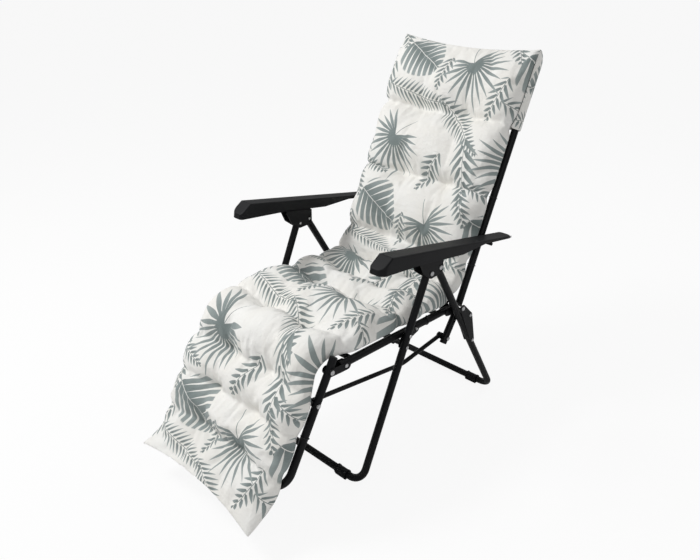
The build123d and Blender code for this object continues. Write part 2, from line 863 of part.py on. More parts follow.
# Notched rail: a toothed bar under the armrest's rear half, for the back tube's peg
rail_pitch = (rail_last - rail_first) / (rail_notches - 1)
rail_start = rail_first - rail_pitch / 2 - rail_end_land
rail_end = rail_last + rail_pitch / 2
rail_x = arm_centre - rail_t / 2
rail_corners = [
    arm(rail_start, rail_tip), arm(rail_end, rail_tip),
    arm(rail_end, arm_top(rail_end) - arm_wall - fit_gap),
    arm(rail_start, arm_top(rail_start) - arm_wall - fit_gap),
]
with BuildPart() as rail:
    add(plate(rail_x, rail_t, rail_corners))
    for notch in range(rail_notches):
        with BuildSketch(side(rail_x)):
            with Locations(arm(rail_first + notch * rail_pitch, rail_tip)):
                Circle(rail_notch_r)
        extrude(amount=rail_t, mode=Mode.SUBTRACT)
save_sides(rail.part, "notched_rail")


# Mat: its underside follows the tubes down the back, across the seat and down the shins
lip_up = tube_r + mat_lift


def crossing(a, a_turn, b, b_turn):
    """Where two side-view lines meet, each given by a point and an angle."""
    ay, az = cos(radians(a_turn)), sin(radians(a_turn))
    by, bz = cos(radians(b_turn)), sin(radians(b_turn))
    along_a = ((b[0] - a[0]) * bz - (b[1] - a[1]) * by) / (ay * bz - az * by)
    return (a[0] + along_a * ay, a[1] + along_a * az)


mat_top = back_length + mat_overhang
mat_neck = back_length - mat_neck_below
mat_waist = (mat_neck + mat_small) / 2
seat_mat_front = seat_short_of_hip + seat_tube_length + knee_reach - seat_mat_short - lip_up
seat_mat_row = seat_mat_back + (seat_mat_front - seat_mat_back) * seat_row_share
shin_mat_end = shin_length + shin_mat_overhang
shin_mat_pitch = (shin_mat_end - shin_mat_start) / 3
shin_mat_row = shin_mat_start + shin_mat_pitch
shin_mat_low_row = shin_mat_start + 2 * shin_mat_pitch
back_lip = move(hip, back_angle + 90, lip_up)
seat_lip = move(seat_rear, seat_angle - 90, lip_up)
knee_lip = move(knee, shin_angle - 90, lip_up)
hip_corner = crossing(back_lip, back_angle, seat_lip, seat_angle)
knee_corner = crossing(seat_lip, seat_angle, knee_lip, shin_angle)
hip_turn = back_angle + 180 - seat_angle
knee_turn = shin_angle - seat_angle
hip_tangent = hip_bend_r * tan(radians(hip_turn / 2))
knee_tangent = knee_bend_r * tan(radians(knee_turn / 2))
hip_bend_start = mat_top - reach(back_lip, hip_corner) - hip_tangent
hip_bend_end = hip_bend_start + hip_bend_r * radians(hip_turn)
seat_run = reach(hip_corner, knee_corner) - hip_tangent - knee_tangent
knee_bend_start = hip_bend_end + seat_run
knee_bend_end = knee_bend_start + knee_bend_r * radians(knee_turn)
shin_shift = knee_bend_end - knee_tangent - reach(knee_lip, knee_corner)
seat_shift = hip_bend_end - hip_tangent + (hip_y - hip_corner[0])


def mat_place(run):
    """Point and heading of the mat's underside at a distance along it from the headrest's end."""
    if run < hip_bend_start:
        return move(back_lip, back_angle, mat_top - run), back_angle + 180
    if run < hip_bend_end:
        turned = degrees((run - hip_bend_start) / hip_bend_r)
        start = move(hip_corner, back_angle, hip_tangent)
        centre = move(start, back_angle + 90, hip_bend_r)
        return move(centre, back_angle - 90 - turned, hip_bend_r), back_angle + 180 - turned
    if run < knee_bend_start:
        return move(hip_corner, seat_angle, hip_tangent + run - hip_bend_end), seat_angle
    if run < knee_bend_end:
        turned = degrees((run - knee_bend_start) / knee_bend_r)
        start = move(knee_corner, seat_angle, -knee_tangent)
        centre = move(start, seat_angle + 90, knee_bend_r)
        return move(centre, seat_angle - 90 + turned, knee_bend_r), seat_angle + turned
    flare = shin_mat_flare * max(0, (run - shin_flare_start) / (shin_foot_run - shin_flare_start)) ** 2
    under = move(knee_corner, shin_angle, knee_tangent + run - knee_bend_end)
    return move(under, shin_angle - 90, flare), shin_angle


shin_foot_run = shin_shift + shin_mat_end
shin_flare_start = shin_shift + shin_mat_low_row + mat_lip


def mat_bay(start, end):
    """One puffed bay between two rows, each row given as run, half width, crest, tuft and sag."""
    with BuildPart() as bay:
        for share, swell in zip(bay_shares, swell_shares):
            run, half, crest, tuft, sag = [a + (b - a) * share for a, b in zip(start, end)]
            half += mat_pinch * swell * (half > knee_half)
            crest += mat_swell * swell
            tuft += (crest - tuft) * tuft_fill_share * swell
            side_t = mat_side + mat_side_swell * swell
            inset = half - mat_side_bow
            flat = inset - mat_lip
            column = mat_tuft_column
            place, heading = mat_place(run)
            ahead = (0, cos(radians(heading)), sin(radians(heading)))
            across = Plane(at(place, 0), x_dir=(1, 0, 0), z_dir=ahead)
            middle = (inset + column) / 2
            with BuildSketch(across):
                with BuildLine():
                    Line((-flat, 0), (-inset, 0))
                    ThreePointArc((-inset, 0), (-half, side_t / 2), (-inset, side_t))
                    ThreePointArc((-inset, side_t), (-middle, crest), (-column, tuft))
                    ThreePointArc((-column, tuft), (0, crest), (column, tuft))
                    ThreePointArc((column, tuft), (middle, crest), (inset, side_t))
                    ThreePointArc((inset, side_t), (half, side_t / 2), (inset, 0))
                    Line((inset, 0), (flat, 0))
                    ThreePointArc((flat, 0), (0, -sag), (-flat, 0))
                make_face()
        loft()
    return bay.part


def mat_stretch(*rows):
    """A stretch of the mat: its bays, joined at their sewn rows."""
    with BuildPart() as stretch:
        add([mat_bay(a, b) for a, b in zip(rows, rows[1:])])
    return stretch.part


def mat_piece(name, *rows):
    save(mat_stretch(*rows), name)


def row(run, half=mat_half - mat_pinch, crest=mat_row, tuft=mat_tuft, sag=mat_sag):
    return (run, half, crest, tuft, sag)


gap = seam_gap / 2
neck = mat_top - mat_neck
small = mat_top - mat_small
seat_start, seat_mid, seat_end = [
    seat_shift + front for front in (seat_mat_back, seat_mat_row, seat_mat_front)
]
shin_start = shin_shift + shin_mat_start
fold_mid = (small + seat_start) / 2
knee_rows = [knee_bend_start - mat_lip, knee_bend_end + mat_lip]
end_tuft = mat_end_row * end_tuft_share

# Headrest: its bay is wider than the rest and has a hood behind, which slips over the back tube's top
top_place, top_heading = mat_place(0)
down = (0, cos(radians(top_heading)), sin(radians(top_heading)))
hood_depth = lip_up + tube_r + hood_gap
hood_plane = Plane(at(top_place, 0), x_dir=(1, 0, 0), z_dir=down)
with BuildPart() as hood:
    with BuildSketch(hood_plane):
        with Locations((0, -(hood_depth + hood_t) / 2)):
            Rectangle(2 * (frame_out + hood_gap + hood_t), hood_depth + hood_t)
    extrude(amount=hood_length)
    with BuildSketch(hood_plane.offset(mat_overhang - tube_r - hood_end_gap)):
        with Locations((0, -hood_depth / 2)):
            Rectangle(2 * (frame_out + hood_gap), hood_depth)
    extrude(amount=hood_length, mode=Mode.SUBTRACT)
with BuildPart() as headrest:
    add(mat_stretch(
        row(0, half=head_half, crest=mat_end_row, tuft=end_tuft, sag=mat_flat_sag),
        row(neck - gap, half=head_half - mat_pinch, sag=mat_flat_sag),
    ))
    add(hood.part)
save(headrest.part, "cushion_headrest")
mat_piece("cushion_back", row(neck + gap, sag=mat_flat_sag), row(mat_top - mat_waist), row(small - gap))
mat_piece(
    "cushion_hip_fold", row(small + gap), row(fold_mid, sag=mat_seat_sag),
    row(seat_start - gap, sag=mat_seat_sag),
)
mat_piece(
    "cushion_seat", row(seat_start + gap, sag=mat_seat_sag), row(seat_mid, sag=mat_seat_sag),
    row(seat_end - gap, sag=mat_seat_sag),
)
mat_piece(
    "cushion_knee_fold", row(seat_end + gap, sag=mat_seat_sag),
    row(knee_rows[0], half=knee_half, crest=mat_row + mat_swell / 2, tuft=mat_row, sag=mat_seat_sag),
    row(knee_rows[1], half=knee_half, crest=mat_row + mat_swell / 2, tuft=mat_row, sag=mat_seat_sag),
    row(shin_start - gap, sag=mat_seat_sag),
)
mat_piece(
    "cushion_leg_rest", row(shin_start + gap, sag=mat_seat_sag),
    row(shin_shift + shin_mat_row, sag=mat_seat_sag),
    row(shin_shift + shin_mat_low_row, sag=mat_flat_sag),
    row(shin_foot_run, crest=mat_end_row, tuft=end_tuft, sag=mat_flat_sag),
)


# Elastic ties: a loop round the side tube at each sewn row's end, with a clip at the mat's edge
def tie_and_clip(run):
    place, heading = mat_place(run)
    ahead = (0, cos(radians(heading)), sin(radians(heading)))
    with BuildLine(Plane(at(place, 0), x_dir=(1, 0, 0), z_dir=ahead)) as loop:
        CenterArc((frame_lane, -lip_up), tube_r + tie_gap + tie_d / 2, tie_start, -tie_sweep)
    with BuildPart() as tie:
        with BuildSketch(Plane(loop.line @ 0, z_dir=loop.line % 0)):
            Circle(tie_d / 2)
        sweep(path=loop.line)
        with BuildSketch(Plane(loop.line @ 0, z_dir=loop.line % 0)):
            Circle(tie_d / 2)
        extrude(amount=-tie_lead)
    with BuildPart() as clip:
        with BuildSketch(Plane(loop.line @ 0, z_dir=loop.line % 0).offset(-tie_lead - weld_gap)):
            Circle(clip_d / 2)
        extrude(amount=-clip_length)
    return tie.part, clip.part


for name, runs in (
    ("back", (mat_top - mat_waist, small)),
    ("seat", (seat_start,)),
    ("leg_rest", (shin_shift + shin_mat_row,)),
):
    ties, clips = zip(*[tie_and_clip(run) for run in runs])
    save_pair("mat_ties_" + name, *ties)
    save_pair("mat_clips_" + name, *clips)
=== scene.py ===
import json
import math

import bpy
import numpy as np
from mathutils import Matrix, Vector


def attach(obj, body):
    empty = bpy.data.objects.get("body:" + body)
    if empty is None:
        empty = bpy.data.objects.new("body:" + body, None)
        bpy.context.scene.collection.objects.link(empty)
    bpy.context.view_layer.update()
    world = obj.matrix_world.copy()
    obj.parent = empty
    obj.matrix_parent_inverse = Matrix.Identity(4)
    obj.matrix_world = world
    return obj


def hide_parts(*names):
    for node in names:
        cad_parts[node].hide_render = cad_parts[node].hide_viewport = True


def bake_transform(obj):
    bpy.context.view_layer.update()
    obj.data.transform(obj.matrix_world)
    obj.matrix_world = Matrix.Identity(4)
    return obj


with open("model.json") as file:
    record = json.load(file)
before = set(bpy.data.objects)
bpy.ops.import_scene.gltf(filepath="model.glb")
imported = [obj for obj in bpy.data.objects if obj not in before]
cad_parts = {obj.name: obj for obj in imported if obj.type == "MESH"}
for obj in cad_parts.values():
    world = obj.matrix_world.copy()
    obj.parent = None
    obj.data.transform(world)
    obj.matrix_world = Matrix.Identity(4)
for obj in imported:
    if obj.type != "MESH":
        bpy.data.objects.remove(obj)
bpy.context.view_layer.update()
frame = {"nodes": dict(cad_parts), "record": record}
scene = bpy.context.scene
scene.view_settings.view_transform = "Standard"


# Camera: a long look down from the sitter's left front, level with the photograph's own.
# It turns about a point just over the front of the seat.
photo_lens = bpy.data.cameras.new("photo_lens")
photo_lens.lens = 35.83
photo_lens.sensor_width = 36
photo_camera = bpy.data.objects.new("photo_camera", photo_lens)
scene.collection.objects.link(photo_camera)
seen_from = Vector((1.3007, -1.3507, 1.4562))
looks_at = Vector((0, 0.0057, 0.4945))
camera_tilt = math.radians(-0.37)
look = (seen_from - looks_at).normalized()
level = Vector((0, 0, 1)).cross(look).normalized()
upright = look.cross(level)
right_hand = level * math.cos(camera_tilt) + upright * math.sin(camera_tilt)
up_hand = look.cross(right_hand)
photo_camera.matrix_world = Matrix(
    (
        (right_hand.x, up_hand.x, look.x, seen_from.x),
        (right_hand.y, up_hand.y, look.y, seen_from.y),
        (right_hand.z, up_hand.z, look.z, seen_from.z),
        (0, 0, 0, 1),
    )
)
scene.camera = photo_camera


# Shader sums: a socket that adds, multiplies and compares like a number.
# Its make method puts in any other node, and every finish below is written with it.
class Wire:
    def __init__(self, socket):
        self.socket = socket

    def make(self, kind, settings=None, values=None, out=0):
        node = self.socket.id_data.nodes.new(kind)
        for name, value in (settings or {}).items():
            setattr(node, name, value)
        for name, value in (values or {}).items():
            if isinstance(value, Wire):
                self.socket.id_data.links.new(value.socket, node.inputs[name])
            else:
                node.inputs[name].default_value = value
        return Wire(node.outputs[out])

    def maths(self, operation, *others):
        return self.make("ShaderNodeMath", {"operation": operation}, dict(enumerate((self,) + others)))

    def __add__(self, other):
        return self.maths("ADD", other)

    __radd__ = __add__

    def __sub__(self, other):
        return self.maths("SUBTRACT", other)

    def __rsub__(self, other):
        return self.maths("MULTIPLY_ADD", -1.0, other)

    def __mul__(self, other):
        return self.maths("MULTIPLY", other)

    __rmul__ = __mul__

    def __truediv__(self, other):
        return self.maths("DIVIDE", other)

    def __abs__(self):
        return self.maths("ABSOLUTE")

    def __pow__(self, other):
        return self.maths("POWER", other)

    def between(self, low, high):
        """0 below low, 1 above high and a smooth step between; turned round when low is above high."""
        return self.make(
            "ShaderNodeMapRange",
            {"interpolation_type": "SMOOTHSTEP"},
            {"Value": self, "From Min": low, "From Max": high, "To Min": 0.0, "To Max": 1.0},
        )

    def larger(self, other):
        return self.maths("MAXIMUM", other)

    def smaller(self, other):
        return self.maths("MINIMUM", other)

    def noise(self, scale, detail=3.0, rough=0.55):
        return self.make(
            "ShaderNodeTexNoise", None, {"Vector": self, "Scale": scale, "Detail": detail, "Roughness": rough}
        )

    def mixed(self, ground, ink):
        """ground where self is 0 and ink where it is 1, as a colour."""
        return self.make("ShaderNodeMix", {"data_type": "RGBA"}, {0: self, 6: ground, 7: ink}, out=2)

    def bumped(self, distance, strength=1.0, under=None):
        values = {"Height": self, "Distance": distance, "Strength": strength}
        if under is not None:
            values["Normal"] = under
        return self.make("ShaderNodeBump", None, values)


def new_finish(name):
    """A named material, its surface shader and a wire with the object's own coordinates."""
    finish = bpy.data.materials.new(name)
    finish.use_nodes = True
    surface = finish.node_tree.nodes["Principled BSDF"]
    place = finish.node_tree.nodes.new("ShaderNodeTexCoord")
    return finish, surface, Wire(place.outputs["Object"])


def feed(surface, **sockets):
    """Puts wires or plain values on the surface shader's sockets."""
    for name, value in sockets.items():
        socket = surface.inputs[name.replace("_", " ")]
        if isinstance(value, Wire):
            socket.id_data.links.new(value.socket, socket)
        else:
            socket.default_value = value


# Studio: a pale floor, a softbox high over the sitter's right front, and two weaker ones.
# White surroundings show in the camera and in gloss; the floor keeps the chair's soft shadow.
floor_half = 40.0
floor_mesh = bpy.data.meshes.new("studio_floor")
floor_mesh.from_pydata(
    [(x * floor_half, y * floor_half, 0) for x, y in ((-1, -1), (1, -1), (1, 1), (-1, 1))],
    [],
    [(0, 1, 2, 3)],
)
floor = bpy.data.objects.new("studio_floor", floor_mesh)
scene.collection.objects.link(floor)
floor_paint, floor_surface, floor_place = new_finish("studio_floor")
feed(floor_surface, Base_Color=(0.86, 0.86, 0.86, 1), Roughness=0.9, Specular_IOR_Level=0.0)
seen = floor_place.make("ShaderNodeLightPath")
glow = floor_place.make("ShaderNodeEmission", None, {"Color": (1, 1, 1, 1), "Strength": 1.0})
lit_floor = Wire(floor_surface.outputs[0])
glow_share = 0.90
blend_floor = seen.make("ShaderNodeMixShader", None, {0: seen * glow_share, 1: lit_floor, 2: glow})
floor_paint.node_tree.links.new(blend_floor.socket, floor_paint.node_tree.nodes["Material Output"].inputs[0])
floor_mesh.materials.append(floor_paint)

sky = bpy.data.worlds.new("studio_white")
sky.use_nodes = True
scene.world = sky
sky_out = sky.node_tree.nodes["World Output"]
sky_dim = Wire(sky.node_tree.nodes["Background"].outputs[0])
sky_dim.socket.node.inputs[0].default_value = (1.0, 1.0, 1.0, 1)
sky_dim.socket.node.inputs[1].default_value = 0.42
sky_seen = sky_dim.make("ShaderNodeLightPath")
sky_white = sky_dim.make("ShaderNodeBackground", None, {0: (1, 1, 1, 1), 1: 1.0})
sky_mix = sky_seen.make("ShaderNodeMixShader", None, {0: sky_seen, 1: sky_dim, 2: sky_white})
sky.node_tree.links.new(sky_mix.socket, sky_out.inputs[0])

for name, place, aim, size, power in (
    ("key_softbox", (-1.5, -1.5, 3.0), (0, 0, 0.5), 0.8, 66),
    ("side_softbox", (2.4, -1.6, 1.8), (0, 0, 0.5), 1.8, 9),
    ("back_softbox", (0.6, 2.4, 2.6), (0, 0.2, 0.6), 1.5, 14),
):
    lamp = bpy.data.lights.new(name, "AREA")
    lamp.shape = "SQUARE"
    lamp.size = size
    lamp.energy = power
    softbox = bpy.data.objects.new(name, lamp)
    scene.collection.objects.link(softbox)
    softbox.location = place
    softbox.rotation_euler = (Vector(aim) - Vector(place)).to_track_quat("-Z", "Y").to_euler()


# Frame: bent steel tube under a satin black powder coat, with the coat's fine orange peel.
# A little dust dulls the coat in patches, and handling has polished other places.
tube_paint, tube_surface, tube_place = new_finish("black_powder_coat")
peel = tube_place.noise(620.0, 2.0)
dust = tube_place.noise(9.0, 4.0)
speck = tube_place.noise(240.0, 2.0).between(0.66, 0.74)
feed(
    tube_surface,
    Base_Color=dust.between(0.35, 0.75).mixed((0.0028, 0.0029, 0.0036, 1), (0.0055, 0.0057, 0.0066, 1)),
    Roughness=0.30 + dust * 0.16 + speck * 0.1,
    Normal=peel.bumped(0.00012, 0.35),
    Specular_IOR_Level=0.16,
)

# Pressed brackets, hinge forks and yokes: 2 mm sheet steel in the same coat, a shade duller.
# The coat thins and shines along the pressed edges.
plate_paint, plate_surface, plate_place = new_finish("black_pressed_plate")
plate_peel = plate_place.noise(480.0, 2.0)
plate_dust = plate_place.noise(22.0, 4.0)
rounded_rim = plate_place.make("ShaderNodeBevel", {"samples": 4}, {"Radius": 0.0006})
feed(
    plate_surface,
    Base_Color=plate_dust.between(0.4, 0.7).mixed((0.0032, 0.0033, 0.0040, 1), (0.0062, 0.0064, 0.0072, 1)),
    Roughness=0.36 + plate_dust * 0.16,
    Normal=plate_peel.bumped(0.00014, 0.4, under=rounded_rim),
    Specular_IOR_Level=0.15,
)

# Armrests, sleeves, plugs and clips: black moulded plastic with a spark-eroded grain.
# Faint flow marks and rubbed patches vary its sheen.
grain_plastic, grain_surface, grain_place = new_finish("black_grained_plastic")
grain = grain_place.noise(1500.0, 2.0, 0.7)
flow = grain_place.noise(14.0, 5.0)
soft_rim = grain_place.make("ShaderNodeBevel", {"samples": 4}, {"Radius": 0.0012})
feed(
    grain_surface,
    Base_Color=flow.between(0.3, 0.7).mixed((0.0036, 0.0038, 0.0048, 1), (0.0072, 0.0075, 0.0088, 1)),
    Roughness=0.40 + flow * 0.16,
    Normal=grain.bumped(0.00012, 0.5, under=soft_rim),
    Specular_IOR_Level=0.17,
)

# Bolts, rivets, studs and pins: zinc-plated steel, finely brushed by the barrel.
# The plating is patchy and a little milky in places.
zinc, zinc_surface, zinc_place = new_finish("zinc_plate")
milky = zinc_place.noise(160.0, 4.0)
scuff = zinc_place.noise(900.0, 3.0)
zinc_rim = zinc_place.make("ShaderNodeBevel", {"samples": 4}, {"Radius": 0.0005})
feed(
    zinc_surface,
    Base_Color=milky.between(0.35, 0.65).mixed((0.42, 0.42, 0.43, 1), (0.60, 0.60, 0.60, 1)),
    Metallic=1.0,
    Roughness=0.26 + milky * 0.22,
    Normal=scuff.bumped(0.00004, 0.4, under=zinc_rim),
)

# Ties: round elastic in a black braided cover, its strands crossing in a fine diamond.
# Its weave is a pair of slanted ripples, used as the strands' relief and also as their colour: painted shade
# in the grooves and painted highlight on the crests.
elastic, elastic_surface, elastic_place = new_finish("black_elastic_braid")
strands_in_metre = 420.0


def strands(slant):
    return elastic_place.make(
        "ShaderNodeTexWave", {"bands_direction": slant},
        {"Vector": elastic_place, "Scale": strands_in_metre}, out=1,
    )


braid_relief_and_shade = strands("DIAGONAL") * strands("Z")
feed(
    elastic_surface,
    # Painted shade and highlight: the ripple height colours the grooves darker and the crests lighter.
    Base_Color=braid_relief_and_shade.mixed((0.006, 0.006, 0.007, 1), (0.018, 0.018, 0.020, 1)),
    Roughness=0.75,
    Normal=braid_relief_and_shade.bumped(0.0002, 0.6),
)

cad_finish = {
    "frame_paint": tube_paint,
    "bracket_paint": plate_paint,
    "black_plastic": grain_plastic,
    "zinc_steel": zinc,
    "elastic": elastic,
}
slot_of_node = {part["node"]: part["material_slot"] for part in frame["record"]["subparts"]}
for node_name, piece in frame["nodes"].items():
    finish = cad_finish.get(slot_of_node[node_name])
    if finish:
        piece.data.materials.clear()
        piece.data.materials.append(finish)


# Mat: one long cotton bag, stuffed with loose fibre and tacked through in two columns of tufts.
# It lies on the back tube, over the seat and down the leg rest, held by the ties at its sewn rows.
tube_r = 0.011
lip_up = 0.0142
hip_point = np.array((0.2387, 0.395))
head_end, neck_at, waist_at, small_at = 0.804, 0.565, 0.352, 0.139
seat_turn = math.radians(176.84)
back_turn = math.radians(65.2)
shin_turn = math.radians(240.0)
seat_rear = hip_point + np.array((-0.026, 0.0145))
seat_reach = 0.536
knee_point = seat_rear + seat_reach * np.array((math.cos(seat_turn), math.sin(seat_turn)))
hip_bend_r = 0.135
knee_bend_r = 0.062
back_of_seat_row, mid_seat_row, knee_row = 0.156, 0.2758, 0.4888
shin_top_row, shin_mid_row, shin_low_row = 0.087, 0.2013, 0.3157
foot_at, foot_overhang, head_short = 0.430, 0.024, 0.008
flare_at, flare_lift, tip_length, tip_lift = 0.3277, 0.030, 0.080, 0.020


def along(turn):
    return np.array((math.cos(turn), math.sin(turn)))


def meeting(a, a_turn, b, b_turn):
    """Where two side-view lines cross."""
    step = np.linalg.solve(np.column_stack((along(a_turn), -along(b_turn))), b - a)[0]
    return a + step * along(a_turn)


back_lip = hip_point + lip_up * along(back_turn + math.pi / 2)
seat_lip = seat_rear + lip_up * along(seat_turn - math.pi / 2)
shin_lip = knee_point + lip_up * along(shin_turn - math.pi / 2)
hip_corner = meeting(back_lip, back_turn, seat_lip, seat_turn)
knee_corner = meeting(seat_lip, seat_turn, shin_lip, shin_turn)
hip_bend = back_turn + math.pi - seat_turn
knee_bend = shin_turn - seat_turn
hip_tangent = hip_bend_r * math.tan(hip_bend / 2)
knee_tangent = knee_bend_r * math.tan(knee_bend / 2)
back_end = head_end - np.dot(hip_corner - back_lip, along(back_turn)) - hip_tangent
seat_begin = back_end + hip_bend_r * hip_bend
seat_finish = seat_begin + np.linalg.norm(knee_corner - hip_corner) - hip_tangent - knee_tangent
shin_begin = seat_finish + knee_bend_r * knee_bend
shin_shift = shin_begin - knee_tangent - np.linalg.norm(knee_corner - shin_lip)
foot_run = shin_shift + (foot_at + foot_overhang)
flare_begin = shin_shift + flare_at


def underside(run):
    """Side-view point of the mat's underside and its outward direction, at a run from the headrest's end."""
    if run < back_end:
        return back_lip + (head_end - run) * along(back_turn), along(back_turn + math.pi / 2)
    if run < seat_begin:
        turned = (run - back_end) / hip_bend_r
        centre = hip_corner + hip_tangent * along(back_turn) + hip_bend_r * along(back_turn + math.pi / 2)
        out = along(back_turn - math.pi / 2 - turned)
        return centre + hip_bend_r * out, -out
    if run < seat_finish:
        place = hip_corner + (hip_tangent + run - seat_begin) * along(seat_turn)
        return place, along(seat_turn - math.pi / 2)
    if run < shin_begin:
        turned = (run - seat_finish) / knee_bend_r
        centre = knee_corner - knee_tangent * along(seat_turn) + knee_bend_r * along(seat_turn + math.pi / 2)
        out = along(seat_turn - math.pi / 2 + turned)
        return centre + knee_bend_r * out, out
    lifted = flare_lift * max(0, (run - flare_begin) / (shin_shift + foot_at - flare_begin)) ** 2
    lifted += tip_lift * max(0, (run - foot_run + tip_length) / tip_length) ** 2
    out = along(shin_turn - math.pi / 2)
    return knee_corner + (knee_tangent + run - shin_begin) * along(shin_turn) + lifted * out, out


seat_shift = seat_begin - hip_tangent + (hip_point[0] - hip_corner[0])
sewn_rows = [
    head_end - neck_at, head_end - waist_at, head_end - small_at,
    (head_end - small_at + seat_shift + back_of_seat_row) / 2, seat_shift + back_of_seat_row,
    seat_shift + mid_seat_row, seat_shift + knee_row,
    shin_shift + shin_top_row, shin_shift + shin_mid_row, shin_shift + shin_low_row,
]
crease_depth_shares = [0.80, 0.60, 0.66, 0.40, 0.54, 0.48, 0.46, 0.52, 0.48, 0.50]
rng = np.random.default_rng(11)
pucker_turn = rng.random(2 * len(sewn_rows)) * math.tau
tuft_x = 0.083
split_row = 5
across_count = 64
grid_step = 0.0078
along_count = int(foot_run / grid_step)
half_share = np.linspace(-1, 1, across_count + 1)
runs = np.linspace(head_short, foot_run, along_count + 1)
split_line = int(np.argmin(np.abs(runs - sewn_rows[split_row])))
runs[split_line] = sewn_rows[split_row]


mat_half, row_pinch, pinch_reach = 0.2435, 0.0085, 0.022
knee_pinch, knee_reach = 0.022, 0.062
ear_out, ear_reach = 0.004, 0.03
head_wider, head_until, head_ease = 0.004, 0.19, 0.018


def half_width(run):
    """Half of the mat's width at a run: drawn in at the rows and the knee, wider at the headrest."""
    near_row = max(math.exp(-(((run - row) / pinch_reach) ** 2)) for row in sewn_rows)
    knee_mid = (seat_finish + shin_begin) / 2
    knee_in = knee_pinch * math.exp(-(((run - knee_mid) / knee_reach) ** 4))
    ear = ear_out * math.exp(-(run - head_short) / ear_reach)
    ear = ear + ear_out * math.exp(-(foot_run - run) / ear_reach)
    head = head_wider / (1 + math.exp((run - head_until) / head_ease))
    return mat_half - row_pinch * near_row - knee_in + ear + head


def rounded(near, reach):
    """0 at an edge and 1 from reach on, rising as a quarter circle."""
    return math.sqrt(max(0.0, 1 - (1 - min(1, near / reach)) ** 2))


top_points, bottom_points = [], []
pad_top = 0.066
seam_up = 0.012
end_round, end_under_round, end_slope = 0.085, 0.020, 0.16
side_round, side_under_round = 0.052, 0.018
crease_reach, crease_inner, crease_ease = 0.019, 0.145, 0.018
crease_side_share, crease_middle_share = 0.42, 0.58
pull_share, pull_reach, deepest_share = 0.93, 0.023, 0.92
pucker_up, pucker_reach, pucker_spokes = 0.0046, 0.030, 8
gather_up, gather_reach = 0.0019, 0.022
valley_share, valley_reach, valley_fade = 0.17, 0.035, 0.06
head_part, head_draw, foot_draw, foot_slant, draw_reach = 0.5, 0.019, 0.026, 0.015, 0.04
for run in runs:
    half = half_width(run)
    place, out = underside(run)
    end_near = min(run - head_short, foot_run - run)
    end_close = rounded(end_near, end_round)
    end_under = rounded(end_near, end_under_round)
    for share in half_share:
        x = half * share
        edge_near = half - abs(x)
        side_close = rounded(edge_near, side_round)
        side_under = rounded(edge_near, side_under_round)
        dip, pucker, nearest = 0.0, 0.0, 1.0
        inward = crease_side_share + crease_middle_share / (
            1 + math.exp((abs(x) - crease_inner) / crease_ease)
        )
        for number, (row, depth) in enumerate(zip(sewn_rows, crease_depth_shares)):
            gap = abs(run - row)
            if gap > 0.14:
                continue
            nearest = min(nearest, gap)
            crease = depth * inward * math.exp(-gap / crease_reach)
            side_of = 0 if x < 0 else 1
            aside = abs(x) - tuft_x
            to_tuft = math.hypot(gap, aside)
            pull = pull_share * math.exp(-to_tuft / pull_reach)
            dip = max(dip, crease + pull * (1 - crease))
            around = pucker_spokes * math.atan2(run - row, aside)
            spokes = math.cos(around + pucker_turn[2 * number + side_of])
            pucker += pucker_up * spokes * min(1, to_tuft / 0.012) * math.exp(-to_tuft / pucker_reach)
            gather = math.sin(x * 190 + pucker_turn[number] * 3) + 0.6 * math.sin(x * 317 + number)
            pucker += gather_up * gather * math.exp(-gap / gather_reach)
        lumpy = 1 + 0.05 * math.sin(x * 23 + run * 11) + 0.04 * math.sin(run * 37 - x * 17)
        valley = valley_share * math.exp(-abs(abs(x) - tuft_x) / valley_reach)
        valley *= math.exp(-max(0, nearest - 0.03) / valley_fade)
        height = pad_top * lumpy * (1 - min(deepest_share, dip)) * (1 - valley * (1 - dip)) + pucker
        closing = min(side_close, end_close)
        swollen_share = 0.35 + 0.65 * min(1, end_near / end_slope)
        rise = seam_up + (max(height, seam_up) - seam_up) * closing * swollen_share
        drop = seam_up * (1 - min(side_under, end_under))
        by_head = run < head_part
        end_pull = head_draw if by_head else -foot_draw
        slant = 0.0 if by_head else foot_slant * max(0.0, share) ** 2
        draw = (end_pull * (1 - share * share) + slant) * math.exp(-end_near / draw_reach)
        heading = np.array((-out[1], out[0]))
        if heading @ along(back_turn + math.pi) < 0:
            heading = -heading
        for pile, up in ((top_points, rise), (bottom_points, drop)):
            spot = place + up * out + draw * heading
            pile.append((x, spot[0], spot[1]))
top_points = np.array(top_points).reshape(along_count + 1, across_count + 1, 3)
bottom_points = np.array(bottom_points).reshape(along_count + 1, across_count + 1, 3)

top_index = np.arange(top_points[:, :, 0].size).reshape(along_count + 1, across_count + 1)
bottom_index = top_index.copy()
bottom_index[1:-1, 1:-1] = top_index.size + np.arange((along_count - 1) * (across_count - 1)).reshape(
    along_count - 1, across_count - 1
)
bag_points = np.concatenate((top_points.reshape(-1, 3), bottom_points[1:-1, 1:-1].reshape(-1, 3)))


def quads(index, turned):
    a, b, c, d = index[:-1, :-1], index[:-1, 1:], index[1:, 1:], index[1:, :-1]
    faces = np.stack((a, b, c, d) if not turned else (a, d, c, b), axis=-1)
    return faces.reshape(-1, 4)


bag_faces = np.concatenate((quads(top_index, False), quads(bottom_index, True)))
bag_mesh = bpy.data.meshes.new("mat_bag")
bag_mesh.from_pydata(bag_points.tolist(), [], bag_faces.tolist())
bag_mesh.update()
bag = bpy.data.objects.new("mat_bag", bag_mesh)
scene.collection.objects.link(bag)
bag_volume = 0.0
for face in bag_mesh.polygons:
    corner = [bag_mesh.vertices[v].co for v in face.vertices]
    bag_volume += corner[0].dot(corner[1].cross(corner[2])) + corner[0].dot(corner[2].cross(corner[3]))
if bag_volume < 0:
    bag_mesh.flip_normals()

